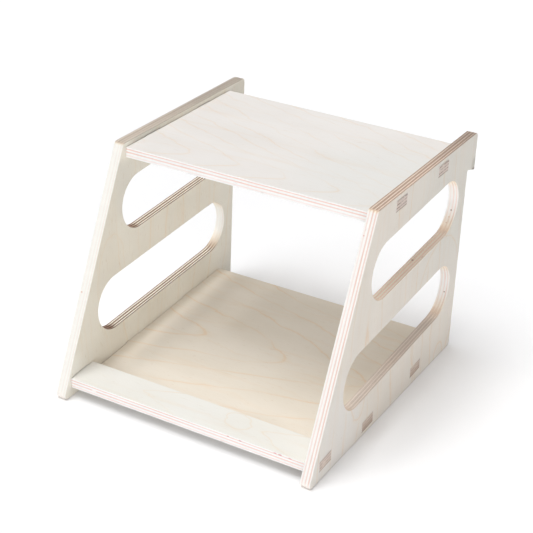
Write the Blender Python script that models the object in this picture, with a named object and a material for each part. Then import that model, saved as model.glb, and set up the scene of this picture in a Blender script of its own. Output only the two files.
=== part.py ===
# Charger holder for a french cleat wall: five pieces of birch plywood, cut flat and glued.
# Two equal sides hang on the wall rail by their hooks. A level shelf, a tilted floor and a
# front lip join them, and their tenons go right through the sides.
# X runs across the holder, +Y towards the wall and +Z up. The origin is the middle of the
# bounding box, on the surface that the holder stands on.

import math

import bmesh
import bpy
from mathutils import Vector

# Sheet and overall sizes, in metres
PLY = 0.009
WIDTH = 0.240
CLEARANCE = 0.0003

# Outline of a side
SIDE_HEIGHT = 0.201
SIDE_DEPTH = 0.2664
FRONT_LEAN = math.radians(24)
CORNER_RADIUS = 0.004

# Hook at the top rear corner of a side, over the wall rail
HOOK_REACH = 0.016
HOOK_HEIGHT = 0.0346
HOOK_UNDERCUT = 0.0048
HOOK_TIP_RADIUS = 0.001
HOOK_ROOT_RADIUS = 0.0016

# Tenons, which go right through the sides in square-cornered mortises
TENON_WIDTH = 0.019

# Floor and lip, both tilted up towards the wall. The web is the wood left under the
# floor's front mortise, and the insets run from a board's edge to a tenon's middle.
DECK_TILT = math.radians(3)
FLOOR_WEB = 0.0032
FLOOR_FRONT_TENON = 0.1001
FLOOR_REAR_INSET = 0.0533
FLOOR_REAR_GAP = 0.0226
FLOOR_UNDER_LIP = 0.011
LIP_DEPTH = 0.0304
LIP_SETBACK = 0.0028

# Level shelf
SHELF_DROP = 0.004
SHELF_SETBACK = 0.003
SHELF_REAR_GAP = 0.0116
SHELF_FRONT_INSET = 0.0391
SHELF_REAR_INSET = 0.0431

# Two slots through a side, parallel to the floor. They fill its height between these
# margins, which sets their radius.
SLOT_FRONT_MARGIN = 0.019
SLOT_REAR_MARGIN = 0.0147
SLOT_ABOVE_FLOOR = 0.0244
SLOT_BRIDGE = 0.0297
SLOT_BELOW_SHELF = 0.014

# Points in a round stretch, and what joins and smooths the faces between them
CORNER_STEPS = 6
SLOT_END_STEPS = 20
WELD_DISTANCE = 0.00005
SMOOTH_ANGLE = math.radians(40)

# Places that follow from the sizes, in the sides' own frame: Y from the sharp front
# corner of the foot, Z from the foot
TOP_FRONT = SIDE_HEIGHT * math.tan(FRONT_LEAN)
SIDE_REAR = SIDE_DEPTH + HOOK_REACH
FRONT_ANGLE = math.pi / 2 - FRONT_LEAN
FRONTMOST = CORNER_RADIUS / math.tan(FRONT_ANGLE / 2) - CORNER_RADIUS
MIDDLE = (FRONTMOST + SIDE_REAR) / 2
SIDE_PLACE = (WIDTH - PLY) / 2
BODY_HALF = WIDTH / 2 - PLY - CLEARANCE
MORTISE_HALF_WIDE = TENON_WIDTH / 2 + CLEARANCE
MORTISE_HALF_HIGH = PLY / 2 + CLEARANCE
SHELF_HEIGHT = SIDE_HEIGHT - SHELF_DROP - PLY / 2
SHELF_FRONT = TOP_FRONT + SHELF_SETBACK
SHELF_REAR = SIDE_DEPTH - SHELF_REAR_GAP

# The same on the tilted deck, along it and square to it from that corner
WEB_RISE = FLOOR_WEB - (FLOOR_FRONT_TENON - MORTISE_HALF_WIDE) * math.sin(DECK_TILT)
FLOOR_HEIGHT = WEB_RISE / math.cos(DECK_TILT) + MORTISE_HALF_HIGH
FLOOR_TOP = FLOOR_HEIGHT + PLY / 2
LIP_HEIGHT = FLOOR_TOP + CLEARANCE + PLY / 2
LIP_FRONT = (LIP_HEIGHT + PLY / 2) * math.tan(FRONT_LEAN + DECK_TILT) + LIP_SETBACK
LIP_REAR = LIP_FRONT + LIP_DEPTH
FLOOR_FRONT = LIP_REAR - FLOOR_UNDER_LIP
FLOOR_REAR = (SIDE_DEPTH - FLOOR_REAR_GAP) / math.cos(DECK_TILT) + FLOOR_TOP * math.tan(DECK_TILT)

# Middles of the tenons of each board
LIP_TENONS = [LIP_FRONT + LIP_DEPTH / 2]
FLOOR_TENONS = [FLOOR_FRONT_TENON, FLOOR_REAR - FLOOR_REAR_INSET]
SHELF_TENONS = [SHELF_FRONT + SHELF_FRONT_INSET, SHELF_REAR - SHELF_REAR_INSET]


def clear_scene():
    for old in list(bpy.data.objects):
        bpy.data.objects.remove(old)


def new_collection(name):
    group = bpy.data.collections.new(name)
    bpy.context.scene.collection.children.link(group)
    return group


def ply_material(name, colour, roughness):
    material = bpy.data.materials.new(name)
    material.use_nodes = True
    shader = material.node_tree.nodes["Principled BSDF"]
    shader.inputs["Base Color"].default_value = (*colour, 1.0)
    shader.inputs["Roughness"].default_value = roughness
    shader.inputs["Metallic"].default_value = 0.0
    return material


# Turns a place on the tilted deck, along it and square to it, into the sides' own frame
def from_deck(along, height):
    return Vector((
        along * math.cos(DECK_TILT) - height * math.sin(DECK_TILT),
        along * math.sin(DECK_TILT) + height * math.cos(DECK_TILT),
    ))


# Points of an arc about a centre, with both its ends
def arc(centre, radius, start, sweep, steps):
    angles = [start + sweep * step / steps for step in range(steps + 1)]
    return [centre + Vector((math.cos(a), math.sin(a))) * radius for a in angles]


# Arc that rounds one corner of an outline, between the points before and after it
def rounded_corner(before, corner, after, radius):
    towards_before = (before - corner).normalized()
    towards_after = (after - corner).normalized()
    half_angle = towards_before.angle(towards_after) / 2
    centre = corner + (towards_before + towards_after).normalized() * radius / math.sin(half_angle)
    start = corner + towards_before * radius / math.tan(half_angle) - centre
    turn = math.copysign(math.pi - 2 * half_angle, towards_after.cross(towards_before))
    return arc(centre, radius, math.atan2(start.y, start.x), turn, CORNER_STEPS)


# Outline of a side, anticlockwise from the front corner of the foot
def side_outline():
    hook_low = SIDE_HEIGHT - HOOK_HEIGHT
    corners = [
        (Vector((0, 0)), CORNER_RADIUS),
        (Vector((SIDE_DEPTH, 0)), CORNER_RADIUS),
        (Vector((SIDE_DEPTH, hook_low + HOOK_UNDERCUT)), HOOK_ROOT_RADIUS),
        (Vector((SIDE_REAR, hook_low)), HOOK_TIP_RADIUS),
        (Vector((SIDE_REAR, SIDE_HEIGHT)), CORNER_RADIUS),
        (Vector((TOP_FRONT, SIDE_HEIGHT)), CORNER_RADIUS),
    ]
    points = []
    for index, (corner, radius) in enumerate(corners):
        before = corners[index - 1][0]
        after = corners[(index + 1) % len(corners)][0]
        points += rounded_corner(before, corner, after, radius)
    return points


# Radius of the slots. Above the floor come a margin, a slot, the bridge and a slot, whose
# rear end rises by the tilt and stops one margin under the shelf. Solved for the radius.
def slot_radius():
    top = SHELF_HEIGHT - PLY / 2 - SLOT_BELOW_SHELF
    rise = (SIDE_DEPTH - SLOT_REAR_MARGIN) * math.tan(DECK_TILT)
    solid = (FLOOR_TOP + SLOT_ABOVE_FLOOR + SLOT_BRIDGE) / math.cos(DECK_TILT)
    return (top - rise - solid) / (1 + 3 / math.cos(DECK_TILT) - math.tan(DECK_TILT))


# Round-ended slot whose centre line lies at one height square to the deck. Its front end
# keeps a margin to the leaning front edge, and its rear end to the rear edge.
def slot_outline(height, radius):
    lean = FRONT_LEAN + DECK_TILT
    front_along = (SLOT_FRONT_MARGIN + radius + height * math.sin(lean)) / math.cos(lean)
    rear_gap = SIDE_DEPTH - SLOT_REAR_MARGIN - radius
    rear_along = (rear_gap + height * math.sin(DECK_TILT)) / math.cos(DECK_TILT)
    quarter = math.pi / 2
    rear_end = arc(from_deck(rear_along, height), radius, DECK_TILT - quarter, math.pi, SLOT_END_STEPS)
    front_end = arc(from_deck(front_along, height), radius, DECK_TILT + quarter, math.pi, SLOT_END_STEPS)
    return rear_end + front_end


# Both slots of a side, the lower one first
def slot_outlines():
    radius = slot_radius()
    lower = FLOOR_TOP + SLOT_ABOVE_FLOOR + radius
    upper = lower + SLOT_BRIDGE + 2 * radius
    return [slot_outline(height, radius) for height in (lower, upper)]


# Mortise round a tenon, a rectangle turned by the tilt of the tenon's board
def mortise_outline(centre, tilt):
    across = Vector((math.cos(tilt), math.sin(tilt))) * MORTISE_HALF_WIDE
    upward = Vector((-math.sin(tilt), math.cos(tilt))) * MORTISE_HALF_HIGH
    return [centre + across * side + upward * level for side, level in ((1, 1), (-1, 1), (-1, -1), (1, -1))]


# The five mortises of a side
def mortise_outlines():
    outlines = [mortise_outline(from_deck(place, LIP_HEIGHT), DECK_TILT) for place in LIP_TENONS]
    outlines += [mortise_outline(from_deck(place, FLOOR_HEIGHT), DECK_TILT) for place in FLOOR_TENONS]
    outlines += [mortise_outline(Vector((place, SHELF_HEIGHT)), 0) for place in SHELF_TENONS]
    return outlines


# Outline of a board between the sides, with a tenon at each end of it at each place
def board_outline(front, rear, tenons):
    tip = WIDTH / 2
    right = [Vector((BODY_HALF, front))]
    for place in tenons:
        for reach, side in ((BODY_HALF, -1), (tip, -1), (tip, 1), (BODY_HALF, 1)):
            right.append(Vector((reach, place + side * TENON_WIDTH / 2)))
    right.append(Vector((BODY_HALF, rear)))
    left = [Vector((-point.x, point.y)) for point in reversed(right)]
    return right + left


# Closed outlines as one flat curve of the sheet's thickness: the first is the edge of the
# piece and the rest are holes in it
def sheet_curve(name, outlines):
    curve = bpy.data.curves.new(name, "CURVE")
    curve.dimensions = "2D"
    curve.fill_mode = "BOTH"
    curve.extrude = PLY / 2
    for outline in outlines:
        spline = curve.splines.new("POLY")
        spline.points.add(len(outline) - 1)
        for point, place in zip(spline.points, outline):
            point.co = (place.x, place.y, 0, 1)
        spline.use_cyclic_u = True
    return curve


# Flat piece of the sheet as a mesh, with its two faces welded to its edges
def sheet(name, outlines):
    curve = sheet_curve(name, outlines)
    blank = bpy.data.objects.new(name + "_blank", curve)
    bpy.context.scene.collection.objects.link(blank)
    evaluated = blank.evaluated_get(bpy.context.evaluated_depsgraph_get())
    mesh = bpy.data.meshes.new_from_object(evaluated)
    bpy.data.objects.remove(blank)
    bpy.data.curves.remove(curve)
    mesh.name = name
    faces = bmesh.new()
    faces.from_mesh(mesh)
    bmesh.ops.remove_doubles(faces, verts=faces.verts, dist=WELD_DISTANCE)
    faces.to_mesh(mesh)
    faces.free()
    mesh.shade_smooth()
    mesh.set_sharp_from_angle(angle=SMOOTH_ANGLE)
    return mesh


def new_piece(group, name, data, parent, location, rotation, material):
    piece = bpy.data.objects.new(name, data)
    group.objects.link(piece)
    piece.parent = parent
    piece.location = location
    piece.rotation_euler = rotation
    piece.data.materials.append(material)
    return piece


# The sides' own frame, and the tilted frame of the floor and the lip inside it
def make_frames(group):
    foot = bpy.data.objects.new("foot_corner", None)
    deck = bpy.data.objects.new("deck_tilt", None)
    foot.location = (0, -MIDDLE, 0)
    deck.parent = foot
    deck.rotation_euler = (DECK_TILT, 0, 0)
    for frame in (foot, deck):
        group.objects.link(frame)
    return foot, deck


def make_sides(group, foot):
    outlines = [side_outline()] + slot_outlines() + mortise_outlines()
    upright = (math.pi / 2, 0, math.pi / 2)
    for name, hand in (("side_left", -1), ("side_right", 1)):
        material = ply_material(name + "_ply", (0.66, 0.60, 0.53), 0.62)
        place = (hand * SIDE_PLACE, 0, 0)
        new_piece(group, name, sheet(name, outlines), foot, place, upright, material)


# Board between the sides, at one height above the origin of the frame that it lies flat in
def make_board(group, name, frame, outline, height, colour):
    material = ply_material(name + "_ply", colour, 0.6)
    place = (0, 0, height)
    new_piece(group, name, sheet(name, [outline]), frame, place, (0, 0, 0), material)


def make_top_shelf(group, foot):
    outline = board_outline(SHELF_FRONT, SHELF_REAR, SHELF_TENONS)
    make_board(group, "top_shelf", foot, outline, SHELF_HEIGHT, (0.76, 0.72, 0.66))


def make_floor_shelf(group, deck):
    outline = board_outline(FLOOR_FRONT, FLOOR_REAR, FLOOR_TENONS)
    make_board(group, "floor_shelf", deck, outline, FLOOR_HEIGHT, (0.58, 0.49, 0.39))


def make_front_lip(group, deck):
    outline = board_outline(LIP_FRONT, LIP_REAR, LIP_TENONS)
    make_board(group, "front_lip", deck, outline, LIP_HEIGHT, (0.82, 0.78, 0.70))


def main():
    clear_scene()
    holder = new_collection("french_cleat_charger_holder")
    foot, deck = make_frames(holder)
    make_sides(holder, foot)
    make_top_shelf(holder, foot)
    make_floor_shelf(holder, deck)
    make_front_lip(holder, deck)


main()
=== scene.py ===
from math import cos, pi, radians, sin, tan

import bpy
import numpy as np
from mathutils import Matrix, Vector
from mathutils.geometry import delaunay_2d_cdt


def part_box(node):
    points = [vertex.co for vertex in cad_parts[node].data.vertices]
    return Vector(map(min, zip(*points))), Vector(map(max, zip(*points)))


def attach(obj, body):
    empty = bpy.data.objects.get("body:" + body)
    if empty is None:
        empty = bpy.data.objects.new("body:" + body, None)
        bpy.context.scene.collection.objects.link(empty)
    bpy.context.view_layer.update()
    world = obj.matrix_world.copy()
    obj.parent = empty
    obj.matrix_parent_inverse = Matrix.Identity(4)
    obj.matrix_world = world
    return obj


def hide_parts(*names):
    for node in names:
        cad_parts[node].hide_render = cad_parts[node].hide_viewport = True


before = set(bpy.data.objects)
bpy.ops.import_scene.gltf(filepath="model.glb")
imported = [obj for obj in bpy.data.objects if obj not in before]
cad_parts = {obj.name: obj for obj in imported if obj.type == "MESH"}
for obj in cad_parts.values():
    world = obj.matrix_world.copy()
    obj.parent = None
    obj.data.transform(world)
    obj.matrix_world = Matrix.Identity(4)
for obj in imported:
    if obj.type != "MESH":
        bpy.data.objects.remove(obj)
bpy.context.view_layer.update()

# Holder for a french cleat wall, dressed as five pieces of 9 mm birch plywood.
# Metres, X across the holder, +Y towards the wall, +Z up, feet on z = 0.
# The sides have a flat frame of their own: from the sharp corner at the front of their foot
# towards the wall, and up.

# The sheet that all five pieces are cut from
stock = {
    "thick": 0.009,
    "width": 0.240,             # over both sides
    "gap": 0.0003,              # glue line round a tenon and at a shoulder
    "deckTilt": radians(3),     # floor and lip rise towards the wall
    "arris": 0.00035,           # rounding that the sanding leaves on each edge
    "arrisSteps": 4,
    "plyEnds": (0.115, 0.245, 0.41, 0.545, 0.73, 0.86),     # shares of the thickness where plies meet
    "plyStep": 0.00003,         # the cross plies shrink back this much at a cut edge
    "plyStepHalf": 0.006,       # half the height of that step, as a share of the thickness
    "sharpTurn": radians(30),   # an outline that turns more than this has a real corner
    "cornerSteps": 14,          # straight runs round a corner of a side
    "slotSteps": 56,            # and round the end of a slot
}
edgeKinds = {"outer": 0, "slot": -1, "mortise": 1}      # what an outline bounds, for the plywood


# Camera, where the photograph was taken from
view = {
    "place": (0.51244, -0.932475, 0.64656),
    "turn": radians(28.922),
    "down": radians(27.29),
    "roll": radians(2.3157),
    "lens": 95.99,              # mm
    "sensor": 36.0,             # mm across
    "nearest": 0.01,            # metres in front of it that it begins to see
}


# Turned about Z, tipped down from the horizon, then rolled about its own line of sight
def makeCamera():
    lens = bpy.data.cameras.new("productView")
    lens.lens = view["lens"]
    lens.sensor_width = view["sensor"]
    lens.clip_start = view["nearest"]
    camera = bpy.data.objects.new("productView", lens)
    camera.matrix_world = (
        Matrix.Translation(view["place"])
        @ Matrix.Rotation(view["turn"], 4, "Z")
        @ Matrix.Rotation(pi / 2 - view["down"], 4, "X")
        @ Matrix.Rotation(view["roll"], 4, "Z")
    )
    bpy.context.scene.collection.objects.link(camera)
    bpy.context.scene.camera = camera


makeCamera()
print("camera placed")


# Flat outlines are arrays of points with the wood on their left. An arc is
# centre + radius (cos a, sin a), with a running evenly from start to start + sweep.
def arcPoints(centre, radius, start, sweep, steps):
    angle = start + sweep * np.linspace(0.0, 1.0, steps + 1)
    return np.asarray(centre) + radius * np.column_stack((np.cos(angle), np.sin(angle)))


# The arc that touches both edges of a corner: its centre lies on the corner's bisector,
# radius / sin(half the corner's angle) from it
def roundedCorner(before, corner, after, radius):
    toBefore = (before - corner) / np.linalg.norm(before - corner)
    toAfter = (after - corner) / np.linalg.norm(after - corner)
    half = np.arccos(np.clip(toBefore @ toAfter, -1, 1)) / 2
    bisector = (toBefore + toAfter) / np.linalg.norm(toBefore + toAfter)
    centre = corner + bisector * radius / sin(half)
    start = corner + toBefore * radius / tan(half) - centre
    turn = np.sign(toAfter[0] * toBefore[1] - toAfter[1] * toBefore[0]) * (pi - 2 * half)
    return arcPoints(centre, radius, np.arctan2(start[1], start[0]), turn, stock["cornerSteps"])


# A place along the tilted deck and square to it, turned by the tilt into the sides' frame
def fromDeck(along, height):
    tilt = stock["deckTilt"]
    return np.array((along * cos(tilt) - height * sin(tilt), along * sin(tilt) + height * cos(tilt)))


# Unit normals of a closed path's edges, to their left, the mitre at each point,
# (n1 + n2) / (1 + n1 . n2), which is 1 from both edges that meet there, and how far it turns
def pathNormals(path):
    edge = np.roll(path, -1, axis=0) - path
    edge /= np.linalg.norm(edge, axis=1)[:, None]
    normal = np.column_stack((-edge[:, 1], edge[:, 0]))
    before = np.roll(normal, 1, axis=0)
    meet = np.sum(normal * before, axis=1)
    mitre = (normal + before) / (1 + meet)[:, None]
    return normal, mitre, np.arccos(np.clip(meet, -1, 1))


# The edge profile carried round each outline, as rows of inset, height above the middle of the
# sheet, share of the thickness from the upper face, and how far the row is onto the cut edge.
# The arris is a quarter circle, inset r (1 - sin t) and drop r (1 - cos t). The plies between
# are level with the outline or shrunk back a little, in turn.
def edgeProfile():
    thick, arris, plies = stock["thick"], stock["arris"], len(stock["plyEnds"])
    t = np.linspace(0.0, pi / 2, stock["arrisSteps"] + 1)
    inset, drop, onEdge = arris * (1 - np.sin(t)), arris * (1 - np.cos(t)), np.sin(t) ** 2
    ends = np.repeat(stock["plyEnds"], 2) + stock["plyStepHalf"] * np.tile((-1, 1), plies)
    back = stock["plyStep"] * np.tile((0, 1, 1, 0), plies // 2)
    rows = np.concatenate((
        np.column_stack((inset, thick / 2 - drop, onEdge)),
        np.column_stack((back, thick / 2 - ends * thick, np.ones_like(ends))),
        np.column_stack((inset, drop - thick / 2, onEdge))[::-1],
    ))
    share = 0.5 - rows[:, 1] / thick
    return rows[:, 0], rows[:, 1], share, rows[:, 2]


# Triangles between closed outlines, whose points follow one another: a net over all the points
# that keeps every edge of them, less the triangles whose middle has an even number of edges to
# its right. They run anticlockwise.
def fillOutlines(points, counts):
    starts = np.cumsum([0] + counts[:-1])
    edges = np.concatenate([
        np.column_stack((start + np.arange(count), start + (np.arange(count) + 1) % count))
        for start, count in zip(starts, counts)
    ])
    net = delaunay_2d_cdt(points.tolist(), edges.tolist(), [], 0, 0.0, True)
    triangles, sources = net[2], net[3]
    fill = np.array([source[0] for source in sources])[np.array(triangles)]
    middle = points[fill].mean(axis=1)[:, None]
    start, end = points[edges[:, 0]][None], points[edges[:, 1]][None]
    passes = (start[..., 1] > middle[..., 1]) != (end[..., 1] > middle[..., 1])
    rise = np.where(passes, end[..., 1] - start[..., 1], 1.0)
    crossing = start[..., 0] + (middle[..., 1] - start[..., 1]) / rise * (end[..., 0] - start[..., 0])
    inside = (passes & (crossing > middle[..., 0])).sum(axis=1) % 2 == 1
    fill = fill[inside]
    p, q, r = (points[fill[:, k]] for k in range(3))
    area = (q[:, 0] - p[:, 0]) * (r[:, 1] - p[:, 1]) - (q[:, 1] - p[:, 1]) * (r[:, 0] - p[:, 0])
    return np.where((area < 0)[:, None], fill[:, ::-1], fill)


# Builds a piece from its outlines: the first runs anticlockwise round it, the others clockwise
# round its holes, and axes turn flat places (a, b) and the height c into x, y and z. Every row
# of the edge profile is the outline + inset times the mitre, at the row's height, and both faces
# are filled between the innermost rows. grainAxis is the flat axis that the face grain follows.
def cutSheet(name, outlines, kinds, place, axes, grainAxis):
    inset, height, share, onEdge = edgeProfile()
    rows = len(inset)
    cap = np.zeros(rows, dtype=int)
    cap[0], cap[-1] = 1, 2      # the rows that bound the upper and the lower face
    flat, sheetPlace, quads, quadLook, capRow = [], [], [], [], []
    first = 0
    for path, kind in zip(outlines, kinds):
        count = len(path)
        normal, mitre, turn = pathNormals(path)
        ring = path[None] + inset[:, None, None] * mitre[None]
        level = np.broadcast_to(height[:, None, None], (rows, count, 1))
        flat.append(np.concatenate((ring, level), axis=2).reshape(-1, 3))
        through = np.broadcast_to(share[:, None], (rows, count))
        grain = np.stack((ring[..., grainAxis], ring[..., 1 - grainAxis], through), axis=2)
        sheetPlace.append(grain.reshape(-1, 3))
        capRow.append(np.repeat(cap, count))
        row, here = np.meshgrid(np.arange(rows - 1), np.arange(count), indexing="ij")
        after = (here + 1) % count
        corners = [(row, here), (row + 1, here), (row + 1, after), (row, after)]
        quads.append(np.stack([first + r * count + p for r, p in corners], axis=2).reshape(-1, 4))
        # How far an edge runs across the grain, smoothed along a curve and not round a corner
        ownShare = np.abs(normal[:, grainAxis])
        unit = mitre / np.linalg.norm(mitre, axis=1)[:, None]
        curved = turn < stock["sharpTurn"]
        look = []
        for r, p in corners:
            across = np.where(curved[p], np.abs(unit[p, grainAxis]), ownShare[here])
            look.append(np.stack((onEdge[r], across, np.full(r.shape, float(kind))), axis=2))
        quadLook.append(np.stack(look, axis=2).reshape(-1, 3))
        first += rows * count
    flat, sheetPlace, capRow = np.concatenate(flat), np.concatenate(sheetPlace), np.concatenate(capRow)
    quads, quadLook = np.concatenate(quads), np.concatenate(quadLook)

    # Upper face filled with triangles between the first rows, and the lower face the same, reversed
    topPoints, lowPoints = np.flatnonzero(capRow == 1), np.flatnonzero(capRow == 2)
    fill = fillOutlines(flat[topPoints, :2], [len(path) for path in outlines])
    faces = quads.tolist() + topPoints[fill].tolist() + lowPoints[fill[:, ::-1]].tolist()
    fillLook = np.zeros((2 * fill.size, 3))

    solid = np.asarray(place) + flat @ np.asarray(axes)
    mesh = bpy.data.meshes.new(name)
    mesh.from_pydata(solid.tolist(), [], faces)
    mesh.shade_smooth()
    mesh.set_sharp_from_angle(angle=stock["sharpTurn"])
    ends = np.empty(len(mesh.edges) * 2, dtype=np.int32)
    mesh.edges.foreach_get("vertices", ends)
    ends = ends.reshape(-1, 2)
    sharp = np.empty(len(mesh.edges), dtype=bool)
    mesh.edges.foreach_get("use_edge_sharp", sharp)
    onCap = (capRow[ends[:, 0]] > 0) & (capRow[ends[:, 0]] == capRow[ends[:, 1]])
    mesh.edges.foreach_set("use_edge_sharp", sharp | onCap)

    # What the plywood reads: sheetPlace is the place along the grain, across it and through the
    # sheet, and edgeLook says cut or face, how far across the grain, and the outline's kind
    sheetData = mesh.attributes.new("sheetPlace", "FLOAT_VECTOR", "POINT")
    sheetData.data.foreach_set("vector", sheetPlace.astype(np.float32).ravel())
    lookData = mesh.attributes.new("edgeLook", "FLOAT_VECTOR", "CORNER")
    lookData.data.foreach_set("vector", np.concatenate((quadLook, fillLook)).astype(np.float32).ravel())
    mesh.update()
    piece = bpy.data.objects.new(name, mesh)
    bpy.context.scene.collection.objects.link(piece)
    return piece


# sRGB 0 to 255 to the linear colour that a socket takes
def paint(colour):
    share = np.asarray(colour) / 255
    linear = np.where(share <= 0.04045, share / 12.92, ((share + 0.055) / 1.055) ** 2.4)
    return (*(float(c) for c in linear), 1.0)


# A new node of this kind, whose inputs are plain values or other nodes' sockets
def addNode(tree, kind, inputs, **settings):
    node = tree.nodes.new(kind)
    for key, value in settings.items():
        setattr(node, key, value)
    for key, value in inputs.items():
        if isinstance(value, bpy.types.NodeSocket):
            tree.links.new(value, node.inputs[key])
        else:
            node.inputs[key].default_value = value
    return node


# One step of sums on numbers or sockets
def calc(tree, operation, *values):
    return addNode(tree, "ShaderNodeMath", dict(enumerate(values)), operation=operation).outputs[0]


# All the values multiplied
def product(tree, value, *others):
    for other in others:
        value = calc(tree, "MULTIPLY", value, other)
    return value


# value * amount + base
def scaled(tree, value, amount, base):
    return calc(tree, "ADD", calc(tree, "MULTIPLY", value, amount), base)


# How far a value is from a place, either way
def awayFrom(tree, value, place):
    return calc(tree, "ABSOLUTE", calc(tree, "SUBTRACT", value, place))


# Value rescaled so that low becomes 0 and high becomes 1, held between them
def fade(tree, value, low, high):
    inputs = {0: value, 1: low, 2: high}
    return addNode(tree, "ShaderNodeMapRange", inputs, interpolation_type="SMOOTHSTEP").outputs[0]


# The first colour where the factor is 0, and the second, or what it does to the first, where 1
def blend(tree, factor, first, second, blendType="MIX"):
    inputs = {0: factor, 6: first, 7: second}
    return addNode(tree, "ShaderNodeMix", inputs, data_type="RGBA", blend_type=blendType).outputs[2]


def joinVector(tree, *parts):
    return addNode(tree, "ShaderNodeCombineXYZ", dict(enumerate(parts))).outputs[0]


def splitVector(tree, attribute):
    source = addNode(tree, "ShaderNodeAttribute", {}, attribute_name=attribute, attribute_type="GEOMETRY")
    return tuple(addNode(tree, "ShaderNodeSeparateXYZ", {0: source.outputs["Vector"]}).outputs)


# Colour that runs through stops of (place, sRGB) as value goes from 0 to 1
def ramp(tree, value, stops):
    node = addNode(tree, "ShaderNodeValToRGB", {0: value})
    elements = node.color_ramp.elements
    for place, _ in stops[2:]:      # it starts with two
        elements.new(place)
    for element, (place, colour) in zip(elements, stops):
        element.position = place
        element.color = paint(colour)
    return node.outputs[0]


# Birch plywood, one scheme for all the pieces, in colours as sRGB, 0 to 255. A cut edge goes
# through its stops as it turns from along the face grain, 0, to across it, 1.
wood = {
    "facePly": (
        (0.0, (251, 250, 249)), (0.45, (251, 248, 244)), (0.80, (248, 236, 220)),
        (0.93, (224, 198, 173)), (1.0, (178, 151, 132)),
    ),
    "crossPly": (
        (0.0, (242, 213, 204)), (0.45, (238, 208, 197)), (0.80, (222, 192, 166)),
        (0.93, (220, 191, 165)), (1.0, (228, 209, 194)),
    ),
    "glue": (150, 122, 102),
    "scorched": (134, 104, 88),     # thin lines where the cutter burnt the glue of an end cut
    "knot": (112, 84, 66),
    "figure": (253, 242, 229),      # the growth lines multiply the ground by this
    "pore": (238, 230, 220),
}

# The wood's noises: how many grains lie in a metre along and across the face grain and in one
# thickness, what is added to the piece's seed, the detail and the roughness
noises = {
    "drift": ((7, 14, 3), 0.0, 2.0, 0.5),           # slow bend of the growth lines
    "wiggle": ((45, 70, 3), 1.3, 3.0, 0.6),         # quick bend of them
    "strength": ((9, 34, 3), 7.3, 1.0, 0.5),        # where they come and go
    "fibre": ((75, 1700, 1), 5.9, 2.0, 0.5),
    "tone": ((10, 26, 3), 9.7, 2.0, 0.5),
    "streak": ((8, 150, 3), 3.1, 3.0, 0.6),
    "pore": ((130, 1100, 2), 2.2, 1.0, 0.5),
    "ripple": ((42, 7, 3), 4.6, 1.0, 0.5),          # light and dark bars across the grain
    "plyWave": ((55, 55, 2), 1.7, 2.0, 0.5),
    "plyTone": ((24, 24, 5), 0.9, 2.0, 0.5),
    "layer": ((30, 30, 15), 4.4, 3.0, 0.6),
    "speck": ((620, 620, 9), 6.1, 2.0, 0.6),
    "scorch": ((160, 160, 3.5), 2.9, 1.0, 0.5),
    "knot": ((105, 105, 6), 8.8, 1.0, 0.5),
}


# Noise over (along * a, across * b, through * c + seed), so that its grains are 1/a long,
# 1/b wide and 1/c thick
def grainNoise(tree, parts, name, look):
    stretch, moved, detail, rough = noises[name]
    along, across, through = (calc(tree, "MULTIPLY", part, amount) for part, amount in zip(parts, stretch))
    vector = joinVector(tree, along, across, calc(tree, "ADD", through, look["seed"] + moved))
    inputs = {"Vector": vector, "Scale": 1.0, "Detail": detail, "Roughness": rough}
    return addNode(tree, "ShaderNodeTexNoise", inputs).outputs["Fac"]


# The same noise about 0, from -0.5 to 0.5
def evenNoise(tree, parts, name, look):
    return calc(tree, "SUBTRACT", grainNoise(tree, parts, name, look), 0.5)


markCore = 0.35     # share of its radius over which a mark is full


# Small marks, and larger patches of painted shade and painted light, at a place in the sheet, in metres
# along, across and through: each fades out between its core and its radius, and is so many times as long
# along the grain
def addMarks(tree, parts, colour, marks, length=1.0, blendType="MIX"):
    along = calc(tree, "DIVIDE", parts[0], length)
    here = joinVector(tree, along, parts[1], calc(tree, "MULTIPLY", parts[2], stock["thick"]))
    for (markAlong, markAcross, markThrough), radius, tint, strength in marks:
        inputs = {0: here, 1: (markAlong / length, markAcross, markThrough)}
        away = addNode(tree, "ShaderNodeVectorMath", inputs, operation="DISTANCE").outputs["Value"]
        spot = product(tree, fade(tree, away, radius, radius * markCore), strength)
        colour = blend(tree, spot, colour, paint(tint), blendType)
    return colour


# Growth lines and fibres of a face. Each "Over" is where its noise starts and where it is full.
veneer = {
    "wiggleAcross": 0.0075,         # metres
    "wiggleAlong": 0.012,
    "strengthOver": (0.36, 0.62),
    "strengthVaries": 0.8,          # share of a line that comes and goes
    "lineCore": 0.15,               # of its half width
    "haloWidth": 3.5,               # half widths
    "haloShare": 0.3,
    "toneOver": (0.3, 0.7),
    "streakOver": (0.50, 0.78),
    "poreOver": (0.66, 0.78),
    "fibreLight": 0.035,
    "leastLight": 0.983,
}


# Share of the way to its tint that a thin line has, away from the line's middle: 1 on it and 0
# at the given half width, with a faint and wider halo
def softLine(tree, away, half):
    core = fade(tree, away, half, half * veneer["lineCore"])
    halo = fade(tree, away, half * veneer["haloWidth"], 0.0)
    return calc(tree, "MAXIMUM", core, product(tree, halo, veneer["haloShare"]))


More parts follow.
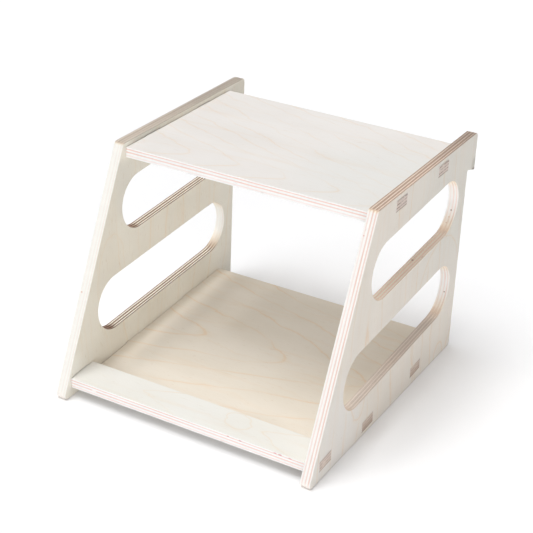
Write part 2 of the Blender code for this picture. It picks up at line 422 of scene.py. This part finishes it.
# How strongly a growth line lies here. The lines lie where a rounded ridge,
# (sqrt(v * v + round * round) - round + slope * u) * lines, is a whole number, u and v being the
# distances from the figure's tip along and across the grain. Each oval adds the line where
# sqrt((u / long) ** 2 + (v / wide) ** 2) is 1 about its own middle.
def growthLines(tree, parts, along, across, look):
    figure = look["figure"]
    u = calc(tree, "SUBTRACT", along, figure["tip"][0])
    v = calc(tree, "SUBTRACT", across, figure["tip"][1])
    ridge = calc(tree, "SQRT", scaled(tree, v, v, figure["round"] ** 2))
    rise = scaled(tree, u, figure["slope"], calc(tree, "SUBTRACT", ridge, figure["round"]))
    away = calc(tree, "PINGPONG", product(tree, rise, figure["lines"]), 0.5)
    lines = softLine(tree, away, figure["width"] * figure["lines"])
    varies = veneer["strengthVaries"]
    there = fade(tree, grainNoise(tree, parts, "strength", look), *veneer["strengthOver"])
    lines = product(tree, lines, scaled(tree, there, varies, 1 - varies))
    for (middleAlong, middleAcross), (long, wide), strength in figure["ovals"]:
        ringU = calc(tree, "DIVIDE", calc(tree, "SUBTRACT", along, middleAlong), long)
        ringV = calc(tree, "DIVIDE", calc(tree, "SUBTRACT", across, middleAcross), wide)
        reach = calc(tree, "SQRT", scaled(tree, ringU, ringU, product(tree, ringV, ringV)))
        ring = softLine(tree, awayFrom(tree, reach, 1.0), figure["width"] / wide)
        lines = calc(tree, "MAXIMUM", lines, product(tree, ring, strength))
    return lines


# Face of the sheet: a pale ground of two tones in patches, painted shade and painted light in places,
# streaks, growth lines and pores, all bent by a slow and a quick noise, and lighter and darker along its
# fibres
def veneerColour(tree, parts, look):
    along, across, through = parts
    wiggle = evenNoise(tree, parts, "wiggle", look)
    slow = product(tree, evenNoise(tree, parts, "drift", look), look["waver"])
    bend = scaled(tree, wiggle, veneer["wiggleAcross"], slow)
    bentAcross = calc(tree, "ADD", across, bend)
    bentAlong = scaled(tree, wiggle, veneer["wiggleAlong"], along)
    bent = (along, bentAcross, through)
    lines = growthLines(tree, parts, bentAlong, bentAcross, look)

    tone = fade(tree, grainNoise(tree, parts, "tone", look), *veneer["toneOver"])
    streak = fade(tree, grainNoise(tree, bent, "streak", look), *veneer["streakOver"])
    pore = fade(tree, grainNoise(tree, bent, "pore", look), *veneer["poreOver"])
    colour = blend(tree, tone, paint(look["ground"]), paint(look["shade"]))
    # Painted shade and painted light, toned into the face at a few places
    colour = addMarks(tree, parts, colour, look.get("paintedShadeAndLight", []))
    tint = paint(wood["figure"])
    colour = blend(tree, product(tree, streak, look["streaks"]), colour, tint, "MULTIPLY")
    colour = blend(tree, product(tree, lines, look["figure"]["strength"]), colour, tint, "MULTIPLY")
    colour = blend(tree, product(tree, pore, look["pores"]), colour, paint(wood["pore"]), "MULTIPLY")
    fibre = grainNoise(tree, bent, "fibre", look)
    light = scaled(tree, fibre, veneer["fibreLight"], veneer["leastLight"])
    light = scaled(tree, evenNoise(tree, parts, "ripple", look), look["ripple"], light)
    return blend(tree, 1.0, colour, light, "MULTIPLY"), fibre, lines


# Cut edges, where shares are of the thickness
cutEdge = {
    "endPower": 6.0,                # how late a cut that turns begins to look like a cross cut
    "plyWave": 0.045,               # how far the plies wander
    "plySoft": 0.014,               # half the soft border of a ply
    "glueOver": (0.022, 0.004),     # distances from the glue, at nothing and at full
    "scorchOver": (0.062, 0.020),
    "toneOver": (0.36, 0.64),       # the cross plies vary from this least strength by so much,
    "toneVaries": 0.45,             # and are paler in a slot
    "toneLeast": 0.70,
    "toneInSlot": 0.35,
    "scorchSpots": (0.30, 0.58),
    "uneven": 0.04,                 # light and dark of the layers along the grain
    "endUneven": 0.34,              # and what a cross cut adds to that
    "speckShare": 0.9,
    "knotOver": (0.77, 0.84),
    "knotShare": 0.4,
}


# Where the cross plies, the glue lines and the scorched lines lie in the thickness. The plies go
# in turn, the odd ones with the face grain and the even ones across it, each between two ends.
def plyLines(tree, parts, endCut, slotWall, look):
    wave = product(tree, evenNoise(tree, parts, "plyWave", look), cutEdge["plyWave"])
    bent = calc(tree, "ADD", parts[2], wave)
    tone = fade(tree, grainNoise(tree, parts, "plyTone", look), *cutEdge["toneOver"])
    tone = scaled(tree, tone, cutEdge["toneVaries"], cutEdge["toneLeast"])
    tone = calc(tree, "SUBTRACT", tone, product(tree, slotWall, cutEdge["toneInSlot"]))
    crossPly, glueLine, scorch = 0.0, 0.0, 0.0
    ends, soft = stock["plyEnds"], cutEdge["plySoft"]
    for start, stop, strength in zip(ends[::2], ends[1::2], look["crossPlies"]):
        begun, past = (fade(tree, bent, end - soft, end + soft) for end in (start, stop))
        weight = calc(tree, "MAXIMUM", endCut, product(tree, strength, tone))
        crossPly = scaled(tree, calc(tree, "SUBTRACT", begun, past), weight, crossPly)
        burnt = fade(tree, awayFrom(tree, bent, start), *cutEdge["scorchOver"])
        scorch = calc(tree, "MAXIMUM", scorch, burnt)
        for end in (start, stop):
            glued = fade(tree, awayFrom(tree, bent, end), *cutEdge["glueOver"])
            glueLine = calc(tree, "MAXIMUM", glueLine, glued)
    return crossPly, glueLine, scorch


# Cut edge: each kind of ply takes its colour from how far the cut runs across the face grain,
# across ** endPower being the share of a cross cut. What a look doesn't name is left out.
def edgeColour(tree, parts, across, kind, look):
    endCut = calc(tree, "POWER", across, cutEdge["endPower"])
    slotWall = calc(tree, "MAXIMUM", product(tree, kind, -1.0), 0.0)
    outside = calc(tree, "SUBTRACT", 1.0, calc(tree, "ABSOLUTE", kind))
    crossPly, glueLine, scorch = plyLines(tree, parts, endCut, slotWall, look)
    colour = blend(tree, crossPly, ramp(tree, across, wood["facePly"]), ramp(tree, across, wood["crossPly"]))
    colour = blend(tree, product(tree, glueLine, endCut, look["glueLines"]), colour, paint(wood["glue"]))
    if "endPlies" in look:
        darkPly, lightPly = look["endPlies"]
        colour = blend(tree, endCut, colour, blend(tree, crossPly, paint(darkPly), paint(lightPly)))
    if "endTone" in look:       # from the upper face to the lower
        endTop, endLow, share = look["endTone"]
        tone = blend(tree, parts[2], paint(endTop), paint(endLow))
        colour = blend(tree, product(tree, endCut, share), colour, tone)
    if "scorch" in look:
        spots = fade(tree, grainNoise(tree, parts, "scorch", look), *cutEdge["scorchSpots"])
        burnt = product(tree, scorch, endCut, spots, look["scorch"])
        colour = blend(tree, burnt, colour, paint(wood["scorched"]))

    layer = evenNoise(tree, parts, "layer", look)
    spread = scaled(tree, endCut, cutEdge["endUneven"], cutEdge["uneven"])
    specks = product(tree, evenNoise(tree, parts, "speck", look), spread, cutEdge["speckShare"])
    light = calc(tree, "ADD", scaled(tree, layer, spread, 1.0), specks)
    # Painted shade: the outer edge along the grain is made duller than the inside of a slot, which the lamps
    # light less
    paintedOuterShade = product(tree, outside, calc(tree, "SUBTRACT", 1.0, endCut), look["paintedOuterShade"])
    light = calc(tree, "SUBTRACT", light, paintedOuterShade)
    # A tone in a slot, and a lift of painted light on its cross cuts, where the lamps hardly reach
    if "slotToneAndPaintedLight" in look:
        tone, share, lift = look["slotToneAndPaintedLight"]
        inSlot = product(tree, slotWall, endCut)
        colour = blend(tree, product(tree, inSlot, share), colour, paint(tone))
        light = scaled(tree, inSlot, lift, light)
    if "paintedRearShade" in look:       # painted shade: an outer cross cut darkens towards the wall
        amount, start, stop = look["paintedRearShade"]
        toWall = fade(tree, parts[1], start, stop)
        light = calc(tree, "SUBTRACT", light, product(tree, toWall, outside, endCut, amount))
    colour = blend(tree, 1.0, colour, light, "MULTIPLY")
    knot = fade(tree, grainNoise(tree, parts, "knot", look), *cutEdge["knotOver"])
    colour = blend(tree, product(tree, knot, cutEdge["knotShare"]), colour, paint(wood["knot"]))
    if "jointTint" in look:     # glue on the walls of a mortise
        inJoint = product(tree, calc(tree, "MAXIMUM", kind, 0.0), look["jointTint"])
        colour = blend(tree, inJoint, colour, paint(wood["glue"]))
    if "edgeTint" in look:
        colour = blend(tree, 1.0, colour, paint(look["edgeTint"]), "MULTIPLY")
    # Painted shade, multiplied into the cut edges at a few places
    colour = addMarks(tree, parts, colour, look.get("paintedEdgeShade", []), blendType="MULTIPLY")
    return colour, layer, crossPly


# The clear finish lies thinner on a cut edge, over the growth lines and on the fibres
finish = {
    "cutRough": 0.16,
    "lineRough": 0.05,
    "fibreRough": 0.10,
    "fibreHigh": 0.5,               # heights as shares of the bump
    "lineHigh": -0.25,
    "layerHigh": 1.6,
    "crossPlyHigh": -0.3,
    "bump": 0.00008,                # metres
    "bumpShare": 0.8,
    "gloss": 0.35,
}


# The plywood of one piece: its face, its cut edge, and the marks that lie over both, some of them painted
# shade
def birchPly(name, look):
    material = bpy.data.materials.new(name)
    material.use_nodes = True
    tree = material.node_tree
    shader = tree.nodes["Principled BSDF"]
    parts = splitVector(tree, "sheetPlace")
    cut, across, kind = splitVector(tree, "edgeLook")
    face, fibre, lines = veneerColour(tree, parts, look)
    edge, layer, crossPly = edgeColour(tree, parts, across, kind, look)
    colour = blend(tree, cut, face, edge)
    colour = addMarks(tree, parts, colour, look.get("marks", []), look.get("markLength", 1.0))
    tree.links.new(colour, shader.inputs["Base Color"])
    dull = scaled(tree, cut, finish["cutRough"], look["roughness"])
    dull = scaled(tree, lines, finish["lineRough"], dull)
    dull = scaled(tree, fibre, finish["fibreRough"], dull)
    tree.links.new(dull, shader.inputs["Roughness"])
    faceHigh = scaled(tree, fibre, finish["fibreHigh"], product(tree, lines, finish["lineHigh"]))
    edgeHigh = scaled(tree, layer, finish["layerHigh"], product(tree, crossPly, finish["crossPlyHigh"]))
    high = addNode(tree, "ShaderNodeMix", {0: cut, 2: faceHigh, 3: edgeHigh}, data_type="FLOAT").outputs[0]
    inputs = {"Height": high, "Distance": finish["bump"], "Strength": finish["bumpShare"]}
    bump = addNode(tree, "ShaderNodeBump", inputs)
    tree.links.new(bump.outputs["Normal"], shader.inputs["Normal"])
    shader.inputs["Specular IOR Level"].default_value = finish["gloss"]
    return material


# Gives a finished piece its material, its body and the solid that it stands for
def dress(piece, node, material):
    piece.data.materials.append(material)
    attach(piece, "root")
    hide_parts(node)
    low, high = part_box(node)
    place = np.empty(len(piece.data.vertices) * 3, dtype=np.float32)
    piece.data.vertices.foreach_get("co", place)
    place = place.reshape(-1, 3)
    off = max(np.abs(place.min(axis=0) - low).max(), np.abs(place.max(axis=0) - high).max())
    print(f"{piece.name}: {len(piece.data.polygons)} faces, {off * 1000:.3f} mm from the box of {node}")


# The two sides have one outline and a look each. In a look, a figure is the growth lines: the
# tip of their arches along and across the grain, how round it is, their slope, number in a
# metre, half width and strength, and ovals as middle, half sizes and strength. A mark is its
# place along, across and through the sheet in metres, radius, colour and strength. The patches
# are painted shade and painted light on the face alone, the edge marks are painted shade
# multiplied into the cut edges, and the edge tint multiplies them too. crossPlies are the
# strengths of the three cross plies where a cut runs along the grain, and the outer shade is
# painted shade that dulls the outer edges along the grain. On a cross cut, endPlies are its two
# kinds of ply, endTone its upper and lower tone and their share, the slot tone the tone and
# share in a slot with a lift of painted light there, and the rear shade how much painted shade
# darkens it, and from where to where.
side = {
    "height": 0.201,
    "depth": 0.2664,                        # as far as the rail
    "lean": radians(24),                    # front edge leans back
    "corner": 0.004,
    "hookReach": 0.016,
    "hookHeight": 0.0346,
    "hookUndercut": 0.0048,
    "hookTip": 0.001,
    "hookRoot": 0.0016,
    "slotRadius": 0.025015,
    "slotHeights": (0.057187, 0.136917),    # of the two centre lines, square to the deck
    "slotFrontMargin": 0.019,
    "slotRearMargin": 0.0147,
    "looks": {
        "sideRight": {
            "seed": 3.7, "ground": (239, 231, 220), "shade": (235, 227, 216),
            "figure": {
                "tip": (0.0997, 0.0880), "round": 0.006, "slope": 0.05,
                "lines": 48, "width": 0.0007, "strength": 1.0,
                "ovals": [
                    ((0.050, 0.222), (0.075, 0.045), 0.8), ((0.050, 0.0775), (0.0285, 0.0125), 0.8),
                    ((-0.004, 0.243), (0.017, 0.009), 1.0),
                ],
            },
            "streaks": 0.30, "waver": 0.030, "pores": 0.45, "ripple": 0.025, "roughness": 0.50,
            "crossPlies": (1.0, 0.9, 0.5), "glueLines": 0.35, "jointTint": 0.3, "paintedOuterShade": 0.115,
            "slotToneAndPaintedLight": ((243, 229, 215), 0.53, 0.37), "paintedRearShade": (0.42, 0.16, 0.29),
            "marks": [
                ((0.1392, 0.2497, 0.0046), 0.0010, (140, 108, 86), 0.7),
                ((0.1340, 0.2467, 0.0048), 0.0010, (222, 190, 160), 0.6),
                ((0.1299, 0.2429, 0.0053), 0.0010, (222, 190, 160), 0.6),
                ((0.0602, 0.2502, 0.0032), 0.0009, (150, 108, 84), 0.8),
                ((0.1825, 0.0813, 0.0071), 0.0007, (206, 150, 130), 0.8),
                ((0.1214, 0.1778, 0.0061), 0.0014, (120, 92, 76), 0.7),
                # The next three marks are painted shade on the hook's tip and in the hollow under it
                ((0.1720, 0.2825, 0.0), 0.0105, (164, 158, 147), 0.45),     # painted shade at the tip of the hook
                ((0.1664, 0.2812, 0.0006), 0.0034, (88, 76, 58), 0.85),
                ((0.1678, 0.2778, 0.0), 0.0026, (112, 99, 80), 0.60),
                ((0.0008, 0.0035, 0.0045), 0.0070, (248, 240, 232), 0.8),   # front of the foot
            ],
            # Painted shade over the rear of the face, and painted light low at its front
            "paintedShadeAndLight": [
                ((0.1800, 0.2620, 0.0), 0.1400, (225, 221, 212), 0.75),
                ((0.0300, 0.0350, 0.0), 0.0700, (238, 234, 229), 0.70),
            ],
            # Painted shade along the floor of the lower slot
            "paintedEdgeShade": [
                ((0.0360, 0.1050, 0.0045), 0.0600, (222, 225, 228), 1.0),
                ((0.0420, 0.1900, 0.0045), 0.0600, (222, 225, 228), 1.0),
            ],
        },
        "sideLeft": {
            "seed": 21.4, "ground": (241, 236, 223), "shade": (237, 231, 217),
            "figure": {
                "tip": (0.060, 0.120), "round": 0.010, "slope": -0.08,
                "lines": 40, "width": 0.0008, "strength": 0.7,
                "ovals": [((0.085, 0.075), (0.040, 0.016), 0.5)],
            },
            "streaks": 0.35, "waver": 0.034, "pores": 0.60, "ripple": 0.110, "roughness": 0.50,
            "crossPlies": (0.26, 0.18, 0.13), "glueLines": 0.20, "jointTint": 0.3, "paintedOuterShade": 0.08,
            "endPlies": ((146, 117, 100), (252, 247, 236)), "scorch": 0.15,
            "paintedRearShade": (0.25, 0.10, 0.24), "edgeTint": (253, 254, 251),
            "marks": [
                ((0.0848, 0.0377, 0.0071), 0.0010, (214, 168, 140), 0.8),
                ((0.0008, 0.0035, 0.0045), 0.0070, (248, 240, 232), 0.8),   # front of the foot
            ],
            # Painted shade high under the shelf, and painted light low at the front and in the corner before
            # the shelf's end
            "paintedShadeAndLight": [
                ((0.1760, 0.1150, 0.0), 0.0600, (221, 218, 208), 0.75),
                ((0.0230, 0.0100, -0.0150), 0.0300, (252, 249, 240), 1.0),
                ((0.1970, 0.0920, -0.0060), 0.0180, (252, 247, 234), 0.9),
            ],
            # Painted shade where each slot's floor turns up at its front
            "paintedEdgeShade": [
                ((0.0368, 0.0670, 0.0045), 0.0130, (150, 118, 98), 0.9),
                ((0.1182, 0.1040, 0.0045), 0.0120, (170, 138, 116), 0.8),
            ],
        },
    },
}

# The boards lie between front and rear, along the sides' frame or the deck, with their middle at
# this height and their tenons centred at these places
lip = {
    "front": 0.0114986, "rear": 0.0418986, "height": 0.012572,
    "tenons": (0.0266986,), "tenonWidth": 0.019,
    "look": {
        "seed": 40.2, "ground": (235, 234, 229), "shade": (232, 230, 223),
        "figure": {
            "tip": (-0.049, 0.0280), "round": 0.0025, "slope": -0.36,
            "lines": 25, "width": 0.0006, "strength": 1.0,
            "ovals": [((0.0385, 0.0295), (0.0125, 0.0100), 0.65)],
        },
        "streaks": 0.30, "waver": 0.012, "pores": 0.30, "ripple": 0.020, "roughness": 0.50,
        "crossPlies": (0.8, 1.0, 0.7), "glueLines": 0.25, "paintedOuterShade": 0.045,
        "endTone": ((226, 211, 202), (224, 208, 197), 0.85), "scorch": 0.55,
        "markLength": 2.4,
        "marks": [
            ((-0.0877, 0.0115, 0.0044), 0.0014, (250, 246, 241), 0.9),
            ((0.0416, 0.0115, 0.0012), 0.0007, (212, 150, 146), 0.8),
            ((0.0527, 0.0115, 0.0015), 0.0008, (206, 146, 152), 0.8),
            ((0.0841, 0.0115, 0.0012), 0.0009, (212, 146, 146), 0.8),
            ((0.0885, 0.0115, 0.0012), 0.0010, (206, 140, 142), 0.8),
            ((0.0974, 0.0115, 0.0014), 0.0009, (214, 152, 150), 0.7),
        ],
    },
}
deck = {
    "front": 0.0308986, "rear": 0.2445419, "height": 0.003272,
    "tenons": (0.1001, 0.1912419), "tenonWidth": 0.019,
    "look": {
        "seed": 57.9, "ground": (240, 232, 219), "shade": (234, 225, 210),
        "figure": {
            "tip": (0.020, 0.140), "round": 0.012, "slope": 0.30,
            "lines": 42, "width": 0.0009, "strength": 1.0, "ovals": [],
        },
        "streaks": 0.45, "waver": 0.030, "pores": 0.50, "ripple": 0.030, "roughness": 0.52,
        "crossPlies": (0.9, 1.0, 0.7), "glueLines": 0.30, "paintedOuterShade": 0.045,
        "endTone": ((226, 211, 201), (196, 174, 156), 0.75), "scorch": 0.45,
    },
}
shelf = {
    "front": 0.09249, "rear": 0.2548, "height": 0.1925,
    "tenons": (0.131591, 0.2117), "tenonWidth": 0.019,
    "look": {
        "seed": 74.6, "ground": (236, 232, 228), "shade": (232, 227, 222),
        "figure": {
            "tip": (0.028, 0.111), "round": 0.006, "slope": 0.41,
            "lines": 55, "width": 0.0008, "strength": 0.75, "ovals": [],
        },
        "streaks": 0.30, "waver": 0.016, "pores": 0.35, "ripple": 0.025, "roughness": 0.50,
        "crossPlies": (1.0, 1.0, 0.5), "glueLines": 0.14, "paintedOuterShade": 0.045,
        "endTone": ((222, 208, 199), (226, 212, 203), 0.85), "scorch": 1.0,
        # Painted shade over the right of the shelf
        "paintedShadeAndLight": [((0.0950, 0.1500, 0.0), 0.1000, (227, 226, 222), 0.7)],
    },
}

topFront = side["height"] * tan(side["lean"])
sideRear = side["depth"] + side["hookReach"]
frontAngle = pi / 2 - side["lean"]
# Middle of the holder's depth in the sides' frame, from the foremost point of the rounded foot
middleDepth = (side["corner"] / tan(frontAngle / 2) - side["corner"] + sideRear) / 2
bodyHalf = stock["width"] / 2 - stock["thick"] - stock["gap"]


# Six corners joined by straight runs, each rounded by its own radius
def sideOutline():
    hookLow = side["height"] - side["hookHeight"]
    corners = np.array([
        (0, 0), (side["depth"], 0), (side["depth"], hookLow + side["hookUndercut"]),
        (sideRear, hookLow), (sideRear, side["height"]), (topFront, side["height"]),
    ])
    radii = [side[key] for key in ("corner", "corner", "hookRoot", "hookTip", "corner", "corner")]
    before, after = np.roll(corners, 1, axis=0), np.roll(corners, -1, axis=0)
    return np.concatenate([roundedCorner(*places) for places in zip(before, corners, after, radii)])


# Two half circles joined by straight runs along the deck, turned clockwise as a hole
def slotOutline(height):
    radius, tilt, steps = side["slotRadius"], stock["deckTilt"], stock["slotSteps"]
    lean = side["lean"] + tilt
    front = (side["slotFrontMargin"] + radius + height * sin(lean)) / cos(lean)
    rear = (side["depth"] - side["slotRearMargin"] - radius + height * sin(tilt)) / cos(tilt)
    rearEnd = arcPoints(fromDeck(rear, height), radius, tilt - pi / 2, pi, steps)
    frontEnd = arcPoints(fromDeck(front, height), radius, tilt + pi / 2, pi, steps)
    return np.concatenate((rearEnd, frontEnd))[::-1]


# A rectangle round the tenon, clockwise as a hole: the tenon's half sizes plus the glue line
def mortiseOutline(centre, tilt, tenonWidth):
    run = np.array((cos(tilt), sin(tilt))) * (tenonWidth / 2 + stock["gap"])
    up = np.array((-sin(tilt), cos(tilt))) * (stock["thick"] / 2 + stock["gap"])
    return np.array([centre + run * a + up * b for a, b in ((1, -1), (-1, -1), (-1, 1), (1, 1))])


# A board from front to rear, with its tenons standing out of both ends as square steps
def boardOutline(board):
    tip, half = stock["width"] / 2, board["tenonWidth"] / 2
    right = [(bodyHalf, board["front"])]
    for place in board["tenons"]:
        low, high = place - half, place + half
        right += [(bodyHalf, low), (tip, low), (tip, high), (bodyHalf, high)]
    right.append((bodyHalf, board["rear"]))
    right = np.array(right)
    return np.concatenate((right, right[::-1] * (-1, 1)))


# Both sides are cut from one set of outlines, with a mortise for every tenon of the boards
def makeSides():
    slots = [slotOutline(height) for height in side["slotHeights"]]
    mortises = []
    for board, tilt in ((lip, stock["deckTilt"]), (deck, stock["deckTilt"]), (shelf, 0.0)):
        for place in board["tenons"]:
            centre = fromDeck(place, board["height"]) if tilt else np.array((place, board["height"]))
            mortises.append(mortiseOutline(centre, tilt, board["tenonWidth"]))
    outlines = [sideOutline()] + slots + mortises
    bounds = ["outer"] + ["slot"] * len(slots) + ["mortise"] * len(mortises)
    kinds = [edgeKinds[bound] for bound in bounds]
    axes = ((0, 1, 0), (0, 0, 1), (1, 0, 0))
    for name, node, hand in (("sideRight", "side_right", 1), ("sideLeft", "side_left", -1)):
        place = (hand * (stock["width"] - stock["thick"]) / 2, -middleDepth, 0)
        piece = cutSheet(name, outlines, kinds, place, axes, grainAxis=1)
        dress(piece, node, birchPly(name + "Ply", side["looks"][name]))


makeSides()
print("sides made")


# A board between the sides, in its own flat frame: across the holder, along the board and up
def makeBoard(name, node, board, tilt):
    along, up = Vector((0, cos(tilt), sin(tilt))), Vector((0, -sin(tilt), cos(tilt)))
    place = Vector((0, -middleDepth, 0)) + up * board["height"]
    outlines, kinds = [boardOutline(board)], [edgeKinds["outer"]]
    piece = cutSheet(name, outlines, kinds, place, ((1, 0, 0), along, up), grainAxis=0)
    dress(piece, node, birchPly(name + "Ply", board["look"]))


makeBoard("frontLip", "front_lip", lip, stock["deckTilt"])
makeBoard("holderFloor", "floor_shelf", deck, stock["deckTilt"])
makeBoard("topShelf", "top_shelf", shelf, 0.0)
print("boards made")


# Studio: white floor, even white surround, three soft suns high on the left, in a row from
# front to rear, and a low fill from the front right
studio = {
    "floorColour": (253, 253, 254),
    "floorHalf": 8.0,
    "floorDrop": 0.0001,            # so that the feet don't share its surface
    "farLift": 0.15,                # the fill reaches less far than the floor does, so the camera
    "farOver": (0.2, 1.4),          # sees the floor this much paler over these metres outwards,
    "floorLift": 0.02,              # and this much paler all over
    "surround": 0.28,
    "keys": {                       # where each shines from, and its strength
        "keyLamp": ((-0.205, -0.10, 0.974), 1.25),
        "frontKeyLamp": ((-0.190, -0.44, 0.878), 0.62),
        "rearKeyLamp": ((-0.190, 0.32, 0.928), 0.36),
    },
    "keySpread": radians(33),
    "fillFrom": (1.20, -2.08, 0.27),    # metres
    "fillPower": 31.0,
    "fillWidth": 2.2,
}
white = (1, 1, 1, 1)


# 1 for a ray from the camera, off gloss or through glass, and 0 for the rest
def seenDirectly(tree):
    path = addNode(tree, "ShaderNodeLightPath", {})
    gloss = calc(tree, "MAXIMUM", path.outputs["Is Camera Ray"], path.outputs["Is Glossy Ray"])
    return calc(tree, "MAXIMUM", gloss, path.outputs["Is Transmission Ray"])


# A wide square under the feet, which keeps the holder's shadow
def makeFloor():
    half, level = studio["floorHalf"], -studio["floorDrop"]
    corners = [(-half, -half, level), (half, -half, level), (half, half, level), (-half, half, level)]
    mesh = bpy.data.meshes.new("studioFloor")
    mesh.from_pydata(corners, [], [(0, 1, 2, 3)])
    material = bpy.data.materials.new("studioFloor")
    material.use_nodes = True
    tree = material.node_tree
    shader = tree.nodes["Principled BSDF"]
    shader.inputs["Base Color"].default_value = paint(studio["floorColour"])
    shader.inputs["Roughness"].default_value = 1.0
    shader.inputs["Specular IOR Level"].default_value = 0.0
    shader.inputs["Emission Color"].default_value = white
    here = addNode(tree, "ShaderNodeTexCoord", {}).outputs["Object"]
    away = addNode(tree, "ShaderNodeVectorMath", {0: here}, operation="LENGTH").outputs["Value"]
    lift = scaled(tree, fade(tree, away, *studio["farOver"]), studio["farLift"], studio["floorLift"])
    tree.links.new(product(tree, seenDirectly(tree), lift), shader.inputs["Emission Strength"])
    mesh.materials.append(material)
    floor = bpy.data.objects.new("studioFloor", mesh)
    bpy.context.scene.collection.objects.link(floor)


# Lights the holder a little from all sides, and shows as plain white
def makeSurround():
    world = bpy.data.worlds.new("whiteRoom")
    world.use_nodes = True
    bpy.context.scene.world = world
    tree = world.node_tree
    tree.nodes.clear()
    light = addNode(tree, "ShaderNodeBackground", {"Color": white, "Strength": studio["surround"]})
    shown = addNode(tree, "ShaderNodeBackground", {"Color": white, "Strength": 1.0})
    inputs = {0: seenDirectly(tree), 1: light.outputs[0], 2: shown.outputs[0]}
    both = addNode(tree, "ShaderNodeMixShader", inputs)
    addNode(tree, "ShaderNodeOutputWorld", {"Surface": both.outputs[0]})


# Hangs a lamp so that it shines from there at the holder
def hangLamp(lamp, comesFrom):
    shown = bpy.data.objects.new(lamp.name, lamp)
    shown.location = comesFrom
    shown.rotation_euler = Vector(comesFrom).to_track_quat("Z", "Y").to_euler()
    bpy.context.scene.collection.objects.link(shown)


# The suns of the key, then the fill
def makeLamps():
    for name, (comesFrom, strength) in studio["keys"].items():
        key = bpy.data.lights.new(name, "SUN")
        key.energy = strength
        key.angle = studio["keySpread"]
        hangLamp(key, comesFrom)
    fill = bpy.data.lights.new("fillLamp", "AREA")
    fill.shape = "DISK"
    fill.size = studio["fillWidth"]
    fill.energy = studio["fillPower"]
    hangLamp(fill, studio["fillFrom"])


makeFloor()
makeSurround()
makeLamps()
bpy.context.scene.view_settings.view_transform = "Standard"
print("studio lit")
